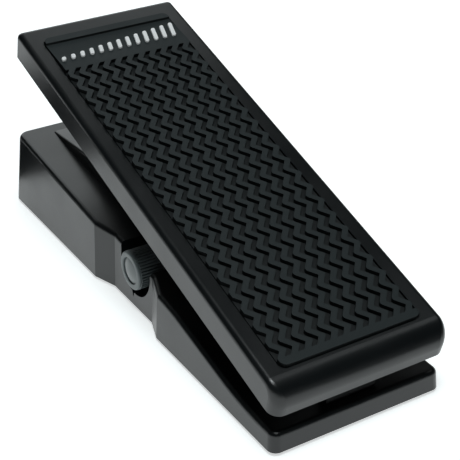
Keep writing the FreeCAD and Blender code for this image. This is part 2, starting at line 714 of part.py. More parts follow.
def potentiometer(name, centre, can_start, bush_start, bush_length, shaft_end, outwards):
    """A potentiometer's can with its bush and solder lugs, hollow where its shaft turns."""
    across, up = centre
    body = rod(name, "YZ_Plane", [(*centre, "pot_radius")], can_start, "pot_depth")
    pad(body, circles(body, "YZ_Plane", [(*centre, "pot_bush")], bush_start), bush_length)
    for offset in (-4, 0, 4):
        lug = box_corners(f"{across} + {outwards} * (pot_radius - 1)",
                          f"{across} + {outwards} * (pot_radius + 4)",
                          f"{up} + {offset} - 0.9", f"{up} + {offset} + 0.9")
        pad(body, polygon(body, "YZ_Plane", lug, f"{can_start} + 2"), 0.6)
    bore = circles(body, "YZ_Plane", [(*centre, "pot_shaft + running_gap")], shaft_end)
    return body, bore


RANGE_POT = ("knob_y", "knob_z")
RANGE_CAN = "spine_wall - spine_half"


def range_pot():
    body, bore = potentiometer("RangePot", RANGE_POT, RANGE_CAN, "-spine_half - 3.8", "spine_wall + 3.8",
                               f"{RANGE_CAN} + 4.5", 1)
    pocket(body, bore, 20)
    finish(body, "range_pot_body", base_frame())
    shaft = rod("RangeShaft", "YZ_Plane", [(*RANGE_POT, "pot_shaft")], "-knob_face + 2.6",
                "knob_face - 2.6 - spine_half + spine_wall + 4")
    finish(shaft, "range_pot_shaft", base_frame())
    washer = rod("RangeWasher", "YZ_Plane", [(*RANGE_POT, 5.5), (*RANGE_POT, "pot_bush + 0.1")],
                 "-spine_half - 0.6", 0.6)
    finish(washer, "range_pot_washer", base_frame())
    nut = block("RangeNut", "YZ_Plane", hexagon(10, *RANGE_POT), "-spine_half - 2.6", 2)
    pocket(nut, circles(nut, "YZ_Plane", [(*RANGE_POT, "pot_bush + seat_gap")]), "3 * spine_half",
           both_ways=True)
    finish(nut, "range_pot_nut", base_frame())


# ---------------------------------------------------------------- sensor drive

SENSOR_START = 5.0  # inner face of the sensor potentiometer's can
BRACKET_THICK = 1.5
CENTRES = "gear_module * (sector_teeth + pinion_teeth) / 2"
SENSOR = (f"pivot_y + {CENTRES} * sin(gear_line)", f"pivot_z - {CENTRES} * cos(gear_line)")


def sensor_pot():
    body, bore = potentiometer("SensorPot", SENSOR, SENSOR_START, 0.5, SENSOR_START - 0.5,
                               SENSOR_START + 4, 1)
    pocket(body, bore, 20)
    finish(body, "sensor_pot_body", base_frame())
    shaft = rod("SensorShaft", "YZ_Plane", [(*SENSOR, "pot_shaft")], -6.5, SENSOR_START + 3.5 + 6.5)
    finish(shaft, "sensor_pot_shaft", base_frame())
    nut_start = SENSOR_START - BRACKET_THICK - 2
    nut = block("SensorNut", "YZ_Plane", hexagon(10, *SENSOR), nut_start, 2)
    pocket(nut, circles(nut, "YZ_Plane", [(*SENSOR, "pot_bush + seat_gap")]), 30, both_ways=True)
    finish(nut, "sensor_pot_nut", base_frame())


def sensor_bracket():
    """A sheet angle that stands on the bottom plate and holds the sensor potentiometer."""
    start = SENSOR_START - BRACKET_THICK
    upright = box_corners(122, 145, "plate_low + plate_thick", 25)
    body = block("Bracket", "YZ_Plane", upright, start, BRACKET_THICK)
    tab = box_corners(start, 20, 122, 145)
    pad(body, polygon(body, "XY_Plane", tab, "plate_low + plate_thick"), BRACKET_THICK)
    pocket(body, circles(body, "YZ_Plane", [(*SENSOR, "pot_bush + 0.1")]), 20, along=True)
    pocket(body, circles(body, "XY_Plane", [(x, y, 1.5) for x, y in BRACKET_PLACES]), 10, along=True)
    finish(body, "sensor_bracket", base_frame())
    seed = screw("BracketScrew", 2.4, 1.2, 1.45, BRACKET_THICK + size("plate_thick"))
    top = size("plate_low") + size("plate_thick") + BRACKET_THICK
    copies("bracket_screws", seed, [Vector(0, 0, top) + Vector(x, y, 0) for x, y in BRACKET_PLACES],
           base_frame())


PRESSURE_ANGLE = math.radians(20)
BACKLASH = 0.12  # taken off each gear's tooth at the pitch circle


def tooth(teeth, addendum, root):
    """The outline of one involute tooth that points along +y, in the plane x = 0."""
    pitch = size("gear_module") * teeth / 2
    base = pitch * math.cos(PRESSURE_ANGLE)
    tip = pitch + addendum
    half = math.pi / (2 * teeth) - BACKLASH / (2 * pitch) + math.tan(PRESSURE_ANGLE) - PRESSURE_ANGLE
    flank = [(root - 0.3, half)] if root < base else []
    for i in range(6):
        radius = max(base, root - 0.3) + (tip - max(base, root - 0.3)) * i / 5
        roll = math.acos(base / radius)
        flank.append((radius, half - (math.tan(roll) - roll)))
    outline = [Vector(0, r * math.cos(a), r * math.sin(a)) for r, a in flank]
    outline += [Vector(0, r * math.cos(a), -r * math.sin(a)) for r, a in reversed(flank)]
    return Part.Face(Part.makePolygon(outline + outline[:1]))


def gear_line_angle():
    """The line of centres as an angle from +y towards +z."""
    return size("gear_line") - 90


def turned(shape, centre, angle):
    """A shape turned about the x axis, in degrees, then moved to a centre."""
    copy = shape.copy()
    copy.rotate(Vector(0, 0, 0), X_AXIS, angle)
    copy.translate(centre)
    return copy


def pivot_point():
    return Vector(0, size("pivot_y"), size("pivot_z"))


def pinion_point():
    distance = size("gear_module") * (size("sector_teeth") + size("pinion_teeth")) / 2
    angle = math.radians(gear_line_angle())
    return pivot_point() + Vector(0, math.cos(angle), math.sin(angle)) * distance


SECTOR_START = -5.0
SECTOR_ADDENDUM = 0.75
SECTOR_TOOTH_RANGE = range(-2, 6)


def sector_gear():
    """A toothed sector on a hub that turns with the pivot shaft."""
    teeth = int(size("sector_teeth"))
    thick = size("gear_thick")
    root = size("gear_module") * teeth / 2 - 1.25
    centre = pivot_point()
    step = 360 / teeth
    first = gear_line_angle() + (SECTOR_TOOTH_RANGE[0] - 0.5) * step
    sweep = len(SECTOR_TOOTH_RANGE) * step
    start = Vector(SECTOR_START, 0, 0)
    web = Part.makeCylinder(root, thick, Vector(0, 0, 0), X_AXIS, sweep)
    middle_of_web = web.CenterOfMass
    begin = math.degrees(math.atan2(middle_of_web.z, middle_of_web.y))
    web = turned(web, centre + start, first + sweep / 2 - begin)
    prism = tooth(teeth, SECTOR_ADDENDUM, root).extrude(X_AXIS * thick)
    pieces = [turned(prism, centre + start, gear_line_angle() + i * step) for i in SECTOR_TOOTH_RANGE]
    hub = Part.makeCylinder(8, 10, centre + Vector(-5, 0, 0), X_AXIS)
    bore = Part.makeCylinder(size("shaft_radius") + size("seat_gap"), 20, centre + Vector(-10, 0, 0), X_AXIS)
    screw_hole = Part.makeCylinder(1.55, 10, centre + Vector(2, 0, 0), Z_AXIS)
    gear = doc.addObject("Part::Feature", "SectorGear")
    gear.Shape = hub.multiFuse([web] + pieces).cut(bore).cut(screw_hole).removeSplitter()
    finish(gear, "sector_gear", base_frame())
    grub = rod("GrubScrew", "XY_Plane", [(2, "pivot_y", 1.5)], "pivot_z + shaft_radius", 3.8)
    socket = polygon(grub, "XY_Plane", hexagon(1.5, 2, "pivot_y"), "pivot_z + shaft_radius + 3.8")
    pocket(grub, socket, 1.5)
    finish(grub, "sector_grub_screw", base_frame())


def sensor_pinion():
    """The pinion, with a gap between its teeth on the line of centres."""
    teeth = int(size("pinion_teeth"))
    thick = size("gear_thick") + 1
    root = size("gear_module") * teeth / 2 - 1.25
    centre = pinion_point()
    start = Vector(SECTOR_START - 0.5, 0, 0)
    step = 360 / teeth
    prism = tooth(teeth, size("gear_module"), root).extrude(X_AXIS * thick)
    core = Part.makeCylinder(root, thick, centre + start, X_AXIS)
    towards = gear_line_angle() + 180
    pieces = [turned(prism, centre + start, towards + (i + 0.5) * step) for i in range(teeth)]
    bore = Part.makeCylinder(size("pot_shaft") + size("seat_gap"), 20, centre + Vector(-10, 0, 0), X_AXIS)
    gear = doc.addObject("Part::Feature", "Pinion")
    gear.Shape = core.multiFuse(pieces).cut(bore).removeSplitter()
    finish(gear, "sensor_pinion", base_frame())


# ---------------------------------------------------------------- board, switch and socket

BOARD_LOW = 9.0
BOARD_THICK = 1.6
BOARD_HALF = 25.0
BOARD_ENDS = (168.0, 214.0)


def circuit_board():
    top = BOARD_LOW + BOARD_THICK
    board = block("Board", "XY_Plane", box_corners(-BOARD_HALF, BOARD_HALF, *BOARD_ENDS), BOARD_LOW,
                  BOARD_THICK)
    pocket(board, circles(board, "XY_Plane", [(x, y, 1.5) for x, y in SPACER_PLACES]), 30, along=True)
    finish(board, "circuit_board", base_frame())
    for name, x, y, wide, long, high in (("sensor_header", -8, 173, 10, 6, 7),
                                         ("range_header", 8, 173, 10, 6, 7),
                                         ("output_header", 0, 208, 10, 6, 7)):
        header = block("Header", "XY_Plane",
                       box_corners(x - wide / 2, x + wide / 2, y - long / 2, y + long / 2),
                       top, high)
        inside = box_corners(x - wide / 2 + 0.8, x + wide / 2 - 0.8, y - long / 2 + 0.8, y + long / 2 - 0.8)
        pocket(header, polygon(header, "XY_Plane", inside, top + high), high - 1)
        finish(header, name, base_frame())
    spacer_low = size("plate_low") + size("plate_thick")
    spacer = rod("Spacer", "XY_Plane", [(0, 0, 3), (0, 0, SPACER_HOLE)], 0, BOARD_LOW - spacer_low)
    copies("board_spacers", spacer, [Vector(x, y, spacer_low) for x, y in SPACER_PLACES], base_frame())
    seed = screw("BoardScrew", 2.4, 1.2, 1.25, BOARD_THICK + 5)
    copies("board_screws", seed, [Vector(x, y, top) for x, y in SPACER_PLACES], base_frame())


def polarity_switch():
    """A slide switch under the board, worked through a slot in the bottom plate."""
    low = size("plate_low") + size("plate_thick")
    middle_y = SWITCH_Y + SLIDER_TRAVEL / 2
    body = block("SwitchBody", "XY_Plane", box_corners(-4, 4, middle_y - 8, middle_y + 8), low,
                 BOARD_LOW - low)
    slot = box_corners(-SLIDER_HALF - 0.2, SLIDER_HALF + 0.2, SWITCH_Y - SLIDER_HALF - 0.2,
                       SWITCH_Y + SLIDER_TRAVEL + SLIDER_HALF + 0.2)
    pocket(body, polygon(body, "XY_Plane", slot, low), 4.5, along=True)
    finish(body, "polarity_switch_body", base_frame())
    outline = box_corners(-SLIDER_HALF, SLIDER_HALF, SWITCH_Y - SLIDER_HALF, SWITCH_Y + SLIDER_HALF)
    slider = block("SwitchSlider", "XY_Plane", outline, -0.4, low + 0.4 + 4.2)
    for y in (-0.8, 0, 0.8):
        grip = box_corners(-2, 2, SWITCH_Y + y - 0.15, SWITCH_Y + y + 0.15)
        pocket(slider, polygon(slider, "XY_Plane", grip, -0.4), 0.4, along=True)
    finish(slider, "polarity_switch_slider", base_frame())


SOCKET_BORE = 3.25
SOCKET_END = 226.0


def jack_socket():
    """A 6.35 mm socket in the toe wall, held by its nut."""
    centre = (0, JACK_HEIGHT)
    wall_inside = 246.4
    body = block("SocketBody", "XZ_Plane", box_corners(-8, 8, JACK_HEIGHT - 8, JACK_HEIGHT + 8),
                 -wall_inside, wall_inside - SOCKET_END)
    pad(body, circles(body, "XZ_Plane", [(*centre, 4.5)], -JACK_FACE - 3.4),
        JACK_FACE + 3.4 - wall_inside + 0.1)
    bore_end = SOCKET_END + 1.5
    pocket(body, circles(body, "XZ_Plane", [(*centre, SOCKET_BORE)], -JACK_FACE - 5),
           JACK_FACE + 5 - bore_end, along=True)
    finish(body, "jack_socket", base_frame())
    washer = rod("SocketWasher", "XZ_Plane", [(*centre, 7), (*centre, 4.6)], -JACK_FACE - 0.6, 0.6)
    finish(washer, "jack_washer", base_frame())
    nut = block("SocketNut", "XZ_Plane", hexagon(12, *centre), -JACK_FACE - 2.8, 2.2)
    pocket(nut, circles(nut, "XZ_Plane", [(*centre, 4.52)], -JACK_FACE - 10), 20, along=True)
    finish(nut, "jack_nut", base_frame())


# ---------------------------------------------------------------- build, check and write

for build in (base_shell, bottom_plate, feet, bottom_screws, buffers, pivot_bushes, friction_washers,
              pivot_shaft, retaining_clips, treadle_shell, tread_pad, pad_emblem, range_knob, knob_cap,
              range_pot, sensor_pot, sensor_bracket, sector_gear, sensor_pinion, circuit_board,
              polarity_switch, jack_socket):
    build()
doc.recompute()

for item in doc.Objects:
    if "Invalid" in item.State or "Error" in item.State:
        raise RuntimeError(f"{item.Label} failed: {item.State}")
for item in parts:
    if item.Shape.isNull() or not item.Shape.isValid() or not item.Shape.Solids:
        raise RuntimeError(f"{item.Label} has no valid shape")

os.makedirs("parts", exist_ok=True)
for item in parts:
    item.Shape.exportStep(f"parts/{item.Label}.step")
    low, high = item.Shape.BoundBox.ZMin, item.Shape.BoundBox.ZMax
    print(f"{item.Label}: {len(item.Shape.Solids)} solid(s), {item.Shape.Volume:.0f} mm3, "
          f"z {low:.1f} to {high:.1f}")
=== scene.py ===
# %% [markdown]
# A rocking volume pedal: a hollow black base, a long treadle with a rubber tread, and a grey knob at its
# waist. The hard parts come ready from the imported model. This lesson gives them their finishes, and makes
# anew the pieces whose charm is in fine shape: the zigzag tread, the raised mark, the ridged knob and its
# domed disc.

# %% load the fixed frame
import math
import bmesh
import bpy
from mathutils import Matrix, Vector


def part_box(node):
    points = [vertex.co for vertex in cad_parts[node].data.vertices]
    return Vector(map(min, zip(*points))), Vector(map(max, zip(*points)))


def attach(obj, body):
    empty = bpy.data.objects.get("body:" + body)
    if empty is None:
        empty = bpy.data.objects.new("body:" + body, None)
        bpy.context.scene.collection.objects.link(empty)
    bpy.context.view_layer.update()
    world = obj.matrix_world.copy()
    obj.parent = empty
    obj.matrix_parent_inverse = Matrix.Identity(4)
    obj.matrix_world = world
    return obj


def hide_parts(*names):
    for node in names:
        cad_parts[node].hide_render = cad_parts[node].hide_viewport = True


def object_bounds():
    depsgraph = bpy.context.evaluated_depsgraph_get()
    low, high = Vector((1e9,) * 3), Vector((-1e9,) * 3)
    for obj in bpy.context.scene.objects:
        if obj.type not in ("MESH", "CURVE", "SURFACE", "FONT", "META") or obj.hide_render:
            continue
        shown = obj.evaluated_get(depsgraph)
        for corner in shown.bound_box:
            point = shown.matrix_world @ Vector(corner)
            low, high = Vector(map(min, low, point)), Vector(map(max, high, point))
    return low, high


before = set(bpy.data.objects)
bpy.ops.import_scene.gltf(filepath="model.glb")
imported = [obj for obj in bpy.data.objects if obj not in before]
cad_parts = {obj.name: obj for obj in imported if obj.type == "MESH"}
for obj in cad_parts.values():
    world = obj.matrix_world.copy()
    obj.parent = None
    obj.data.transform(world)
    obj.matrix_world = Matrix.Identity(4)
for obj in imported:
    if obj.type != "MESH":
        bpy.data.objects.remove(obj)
cad_low, cad_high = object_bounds()
MM = 0.001
print("whole pedal, mm:", [round(side / MM, 1) for side in cad_high - cad_low])

# %% [markdown]
# The treadle leans, toe end up, so its pad is easiest to make flat and then turn into place. The pad's
# own biggest flat face gives the lean, and the pad is measured again along the leaning axes.

# %% the treadle's lean
pad_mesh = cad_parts["tread_pad"].data
pad_top = max(pad_mesh.polygons, key=lambda face: face.area * face.normal.z)
LEAN = math.atan2(-pad_top.normal.y, pad_top.normal.z)
lean_turn = Matrix.Rotation(LEAN, 4, "X")
print("treadle lean, degrees:", round(math.degrees(LEAN), 2))


def leaning_box(node):
    """Lowest and highest corner of a node, measured along the treadle's leaning axes."""
    points = [lean_turn.inverted() @ vert.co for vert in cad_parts[node].data.vertices]
    low = Vector([min(point[axis] for point in points) for axis in range(3)])
    high = Vector([max(point[axis] for point in points) for axis in range(3)])
    return low, high


pad_low, pad_high = leaning_box("tread_pad")
print("tread pad, mm:", [round(side / MM, 1) for side in pad_high - pad_low])

# %% [markdown]
# The camera stands to the left of the heel end and looks down along the treadle through a long lens,
# which keeps the sides nearly parallel. It is turned first to its azimuth, then tipped to its elevation,
# then rolled a little.

# %% camera
AZIMUTH, ELEVATION, ROLL = -30.56, 29.71, -1.05
CAMERA_PLACE = Vector((-0.2502, -0.4507, 0.3225))
LENS, SENSOR, NEAREST = 100.0, 36.0, 0.02
camera_data = bpy.data.cameras.new("camera")
camera_data.lens = LENS
camera_data.sensor_width = SENSOR
camera_data.clip_start = NEAREST
camera = bpy.data.objects.new("camera", camera_data)
bpy.context.scene.collection.objects.link(camera)
aim = Matrix.Rotation(math.radians(AZIMUTH), 4, "Z")
aim = aim @ Matrix.Rotation(math.radians(90 - ELEVATION), 4, "X")
aim = aim @ Matrix.Rotation(math.radians(ROLL), 4, "Z")
camera.matrix_world = Matrix.Translation(CAMERA_PLACE) @ aim
bpy.context.scene.camera = camera
bpy.context.scene.view_settings.view_transform = "Standard"
print("camera distance, m:", round(CAMERA_PLACE.length, 3))

# %% [markdown]
# Black satin plastic shows the room more than itself. A white floor lights every upright wall from below.
# A tall soft box behind the toe end lights the tops, and a smaller one overhead draws the bright line
# along each rounded edge. A weak one on the right lifts the far side. The rest of the room is dim, which
# keeps those edges black. Two black cards lie flat on the floor, one off the toe end and one off the
# heel, where only gloss can see them, and let parts of the walls fall dark.

# %% the floor and the room
FLOOR_SIZE = 6.0
FLOOR_GLOW = 0.66
CARD_GAP, HEEL_CARD_GAP, CARD_LIFT = 0.02, 0.07, 0.0005
TOE_CARD_END = 0.29
TOE_CARD_LEFT = -0.45
HEEL_CARD_LEFT, HEEL_CARD_RIGHT, HEEL_CARD_END = 0.03, 0.6, -0.8
FLOOR_COLOUR, FLOOR_ROUGH = (0.905, 0.93, 0.932), 0.8
ROOM_DIM, ROOM_SEEN = 0.03, 1.1


def flat_sheet(name, low, high, height):
    """A flat sheet between two corners, at a height."""
    bm = bmesh.new()
    bmesh.ops.create_grid(bm, x_segments=1, y_segments=1, size=0.5)
    mesh = bpy.data.meshes.new(name)
    bm.to_mesh(mesh)
    bm.free()
    middle = ((low[0] + high[0]) / 2, (low[1] + high[1]) / 2, height)
    mesh.transform(Matrix.Translation(middle) @ Matrix.Diagonal((high[0] - low[0], high[1] - low[1], 1, 1)))
    sheet = bpy.data.objects.new(name, mesh)
    bpy.context.scene.collection.objects.link(sheet)
    return sheet


def plain_material(name, colour, roughness, glow):
    """A stage material with one colour, which may glow a little, as a floor lit through does."""
    material = bpy.data.materials.new(name)
    material.use_nodes = True
    shader = material.node_tree.nodes["Principled BSDF"]
    shader.inputs["Base Color"].default_value = (*colour, 1)
    shader.inputs["Roughness"].default_value = roughness
    shader.inputs["Specular IOR Level"].default_value = 0.0
    shader.inputs["Emission Color"].default_value = (*colour, 1)
    shader.inputs["Emission Strength"].default_value = glow
    return material


def room():
    """A dim room that is as pale as the floor where it is seen directly."""
    world = bpy.data.worlds.new("room")
    bpy.context.scene.world = world
    world.use_nodes = True
    tree = world.node_tree
    tree.nodes.clear()
    dim = tree.nodes.new("ShaderNodeBackground")
    dim.inputs["Strength"].default_value = ROOM_DIM
    pale = tree.nodes.new("ShaderNodeBackground")
    pale.inputs["Strength"].default_value = ROOM_SEEN
    ray = tree.nodes.new("ShaderNodeLightPath")
    choose = tree.nodes.new("ShaderNodeMixShader")
    out = tree.nodes.new("ShaderNodeOutputWorld")
    tree.links.new(ray.outputs["Is Camera Ray"], choose.inputs[0])
    tree.links.new(dim.outputs[0], choose.inputs[1])
    tree.links.new(pale.outputs[0], choose.inputs[2])
    tree.links.new(choose.outputs[0], out.inputs[0])


floor = flat_sheet("floor", (-FLOOR_SIZE / 2,) * 2, (FLOOR_SIZE / 2,) * 2, cad_low.z)
floor.data.materials.append(plain_material("pale_floor", FLOOR_COLOUR, FLOOR_ROUGH, FLOOR_GLOW))
card_black = plain_material("card_black", (0.0, 0.0, 0.0), 1.0, 0.0)
toe_card = ("toe_card", (TOE_CARD_LEFT, cad_high.y + CARD_GAP), (cad_low.x, TOE_CARD_END))
heel_card = ("heel_card", (HEEL_CARD_LEFT, HEEL_CARD_END), (HEEL_CARD_RIGHT, cad_low.y - HEEL_CARD_GAP))
for name, low, high in (toe_card, heel_card):
    card = flat_sheet(name, low, high, cad_low.z + CARD_LIFT)
    card.data.materials.append(card_black)
    card.visible_camera = card.visible_diffuse = card.visible_shadow = False
room()

# %% the lights
OVERHEAD_WATTS, OVERHEAD_SIZE = 6.0, 0.36
BEHIND_WATTS, BEHIND_WIDE, BEHIND_HIGH = 1.3, 0.6, 0.56
SIDE_WATTS, SIDE_SIZE = 0.3, 0.26
COOL = (0.93, 0.99, 1.0)
OVERHEAD_PLACE, BEHIND_PLACE, SIDE_PLACE = (-0.10, -0.28, 1.1), (0.15, 0.62, 0.38), (0.52, -0.1, 0.9)


def soft_box(name, place, width, height, watts):
    """A rectangular light that faces the pedal and isn't seen directly."""
    light = bpy.data.lights.new(name, "AREA")
    light.shape = "RECTANGLE"
    light.size, light.size_y = width, height
    light.energy = watts
    light.color = COOL
    lamp = bpy.data.objects.new(name, light)
    bpy.context.scene.collection.objects.link(lamp)
    facing = (-Vector(place)).to_track_quat("-Z", "Y")
    lamp.matrix_world = Matrix.Translation(place) @ facing.to_matrix().to_4x4()
    lamp.visible_camera = False


soft_box("overhead", OVERHEAD_PLACE, OVERHEAD_SIZE, OVERHEAD_SIZE, OVERHEAD_WATTS)
soft_box("behind", BEHIND_PLACE, BEHIND_WIDE, BEHIND_HIGH, BEHIND_WATTS)
soft_box("right_side", SIDE_PLACE, SIDE_SIZE, SIDE_SIZE, SIDE_WATTS)

# %% [markdown]
# Moulded plastic is never quite smooth. The tool that forms it is spark-eroded, which leaves a fine
# grain, and handling leaves faint dull and shiny patches. One group makes both, a second makes dust and a
# third the lines in drawn metal. Each is built once, puts out values only, and is placed in a finish with
# that finish's own values.

# %% node groups that several finishes share
DUST_FROM, DUST_FULL = 0.62, 0.74
LEVEL_FROM, LEVEL_FULL = 0.5, 0.95


def value_group(name, inputs, outputs):
    """An empty group with the named float inputs and outputs, and its two end nodes."""
    tree = bpy.data.node_groups.new(name, "ShaderNodeTree")
    for socket, value in inputs:
        made = tree.interface.new_socket(socket, in_out="INPUT", socket_type="NodeSocketFloat")
        made.default_value = value
    for socket in outputs:
        tree.interface.new_socket(socket, in_out="OUTPUT", socket_type="NodeSocketFloat")
    return tree, tree.nodes.new("NodeGroupInput"), tree.nodes.new("NodeGroupOutput")


def moulded_grain():
    """Fine spark-eroded grain: a height for bumps, and a cloudy mask for gloss."""
    inputs = [("Grain", 2500.0), ("Clouds", 35.0)]
    tree, given, made = value_group("moulded_grain", inputs, ["Height", "Clouding"])
    new, link = tree.nodes.new, tree.links.new
    place = new("ShaderNodeTexCoord")
    fine = new("ShaderNodeTexNoise")
    fine.inputs["Detail"].default_value = 3.0
    fine.inputs["Roughness"].default_value = 0.6
    link(place.outputs["Object"], fine.inputs["Vector"])
    link(given.outputs["Grain"], fine.inputs["Scale"])
    wide = new("ShaderNodeTexNoise")
    wide.inputs["Detail"].default_value = 4.0
    link(place.outputs["Object"], wide.inputs["Vector"])
    link(given.outputs["Clouds"], wide.inputs["Scale"])
    link(fine.outputs["Fac"], made.inputs["Height"])
    link(wide.outputs["Fac"], made.inputs["Clouding"])
    return tree


def settled_dust():
    """Specks of dust that settle on faces that look up: a mask from 0 to 1."""
    tree, given, made = value_group("settled_dust", [("Specks", 900.0), ("Amount", 0.3)], ["Dust"])
    new, link = tree.nodes.new, tree.links.new
    place = new("ShaderNodeTexCoord")
    specks = new("ShaderNodeTexNoise")
    specks.inputs["Detail"].default_value = 6.0
    link(place.outputs["Object"], specks.inputs["Vector"])
    link(given.outputs["Specks"], specks.inputs["Scale"])
    sharp = new("ShaderNodeMapRange")
    sharp.inputs["From Min"].default_value = DUST_FROM
    sharp.inputs["From Max"].default_value = DUST_FULL
    link(specks.outputs["Fac"], sharp.inputs["Value"])
    face = new("ShaderNodeNewGeometry")
    split = new("ShaderNodeSeparateXYZ")
    link(face.outputs["Normal"], split.inputs[0])
    up = new("ShaderNodeMapRange")
    up.inputs["From Min"].default_value = LEVEL_FROM
    up.inputs["From Max"].default_value = LEVEL_FULL
    link(split.outputs["Z"], up.inputs["Value"])
    both = new("ShaderNodeMath")
    both.operation = "MULTIPLY"
    link(sharp.outputs[0], both.inputs[0])
    link(up.outputs[0], both.inputs[1])
    some = new("ShaderNodeMath")
    some.operation = "MULTIPLY"
    link(both.outputs[0], some.inputs[0])
    link(given.outputs["Amount"], some.inputs[1])
    link(some.outputs[0], made.inputs["Dust"])
    return tree


def drawn_lines():
    """The faint parallel lines that rolling, turning or drawing leaves in metal."""
    inputs = [("Lines", 900.0), ("Stretch", 0.03)]
    tree, given, made = value_group("drawn_lines", inputs, ["Height", "Streaks"])
    new, link = tree.nodes.new, tree.links.new
    place = new("ShaderNodeTexCoord")
    split = new("ShaderNodeSeparateXYZ")
    link(place.outputs["Object"], split.inputs[0])
    long = new("ShaderNodeMath")
    long.operation = "MULTIPLY"
    link(split.outputs["X"], long.inputs[0])
    link(given.outputs["Stretch"], long.inputs[1])
    join = new("ShaderNodeCombineXYZ")
    link(long.outputs[0], join.inputs["X"])
    link(split.outputs["Y"], join.inputs["Y"])
    link(split.outputs["Z"], join.inputs["Z"])
    lines = new("ShaderNodeTexNoise")
    lines.inputs["Detail"].default_value = 5.0
    link(join.outputs[0], lines.inputs["Vector"])
    link(given.outputs["Lines"], lines.inputs["Scale"])
    link(lines.outputs["Fac"], made.inputs["Height"])
    link(lines.outputs["Fac"], made.inputs["Streaks"])
    return tree


GRAIN, DUST, LINES = moulded_grain(), settled_dust(), drawn_lines()
print("node groups:", [tree.name for tree in (GRAIN, DUST, LINES)])

# %% [markdown]
# A finish is one Principled shader. Its plain numbers sit on its own sockets; the groups feed only what
# changes over the surface: colour, roughness and the bump's height. Small helpers keep each finish to a
# few lines.

# %% helpers for a finish
NOISE_LOW, NOISE_HIGH = 0.35, 0.65
CLOUD_SCALE = 38.0
DUST_GAIN, DUST_PALE = 1.25, 0.035
METAL_DULL, METAL_SHINE, METAL_SHADE = 0.12, 0.08, 0.82


def new_finish(name, colour, roughness, **plain):
    """A material with its Principled shader, and plain values set on the shader's own sockets."""
    material = bpy.data.materials.new(name)
    material.use_nodes = True
    material.diffuse_color = (*colour, 1)
    shader = material.node_tree.nodes["Principled BSDF"]
    shader.inputs["Base Color"].default_value = (*colour, 1)
    shader.inputs["Roughness"].default_value = roughness
    for socket, value in plain.items():
        shader.inputs[socket.replace("_", " ")].default_value = value
    return material, shader


def place_group(material, tree, **values):
    """Places a shared group in a material, with this finish's own values."""
    node = material.node_tree.nodes.new("ShaderNodeGroup")
    node.node_tree = tree
    for socket, value in values.items():
        node.inputs[socket].default_value = value
    return node


def spread(material, source, low, high, socket):
    """Feeds a noise mask into one of the shader's sockets, stretched between two values."""
    node = material.node_tree.nodes.new("ShaderNodeMapRange")
    node.inputs["From Min"].default_value = NOISE_LOW
    node.inputs["From Max"].default_value = NOISE_HIGH
    node.inputs["To Min"].default_value = low
    node.inputs["To Max"].default_value = high
    material.node_tree.links.new(source, node.inputs["Value"])
    material.node_tree.links.new(node.outputs[0], socket)


def blend_colour(material, mask, low, high, socket):
    """Feeds a colour that runs from low to high with a mask."""
    node = material.node_tree.nodes.new("ShaderNodeMix")
    node.data_type = "RGBA"
    colours = [item for item in node.inputs if item.type == "RGBA"]
    colours[0].default_value = (*low, 1)
    colours[1].default_value = (*high, 1)
    material.node_tree.links.new(mask, node.inputs[0])
    material.node_tree.links.new([item for item in node.outputs if item.type == "RGBA"][0], socket)
    return node


def bump(material, shader, height, depth):
    """Turns a height into the shader's normal; depth is in metres."""
    node = material.node_tree.nodes.new("ShaderNodeBump")
    node.inputs["Distance"].default_value = depth
    node.inputs["Strength"].default_value = 1.0
    material.node_tree.links.new(height, node.inputs["Height"])
    material.node_tree.links.new(node.outputs[0], shader.inputs["Normal"])


def plastic(name, colour, roughness, grain, depth, dust, cloud, **plain):
    """A moulded plastic or rubber: grain, cloudy gloss and a little dust in its colour."""
    material, shader = new_finish(name, colour, roughness, **plain)
    skin = place_group(material, GRAIN, Grain=grain, Clouds=CLOUD_SCALE)
    specks = place_group(material, DUST, Amount=dust)
    low, high = roughness - cloud, roughness + cloud
    spread(material, skin.outputs["Clouding"], low, high, shader.inputs["Roughness"])
    pale = tuple(min(1.0, channel * DUST_GAIN + DUST_PALE) for channel in colour)
    blend_colour(material, specks.outputs["Dust"], colour, pale, shader.inputs["Base Color"])
    bump(material, shader, skin.outputs["Height"], depth)
    return material


def metal(name, colour, roughness, lines=900.0, depth=0.000004):
    """A drawn or rolled metal: fine lines in its gloss and its surface."""
    material, shader = new_finish(name, colour, roughness, Metallic=1.0)
    drawn = place_group(material, LINES, Lines=lines)
    low, high = roughness - METAL_SHINE, roughness + METAL_DULL
    spread(material, drawn.outputs["Streaks"], low, high, shader.inputs["Roughness"])
    darker = tuple(channel * METAL_SHADE for channel in colour)
    blend_colour(material, drawn.outputs["Streaks"], darker, colour, shader.inputs["Base Color"])
    bump(material, shader, drawn.outputs["Height"], depth)
    return material


# %% [markdown]
# The finishes, from the big black mouldings to the small hardware inside. Each colour is a linear value,
# so the black plastic at 0.004 gives back one part in 250 of the light; all else that shows on it is
# gloss.

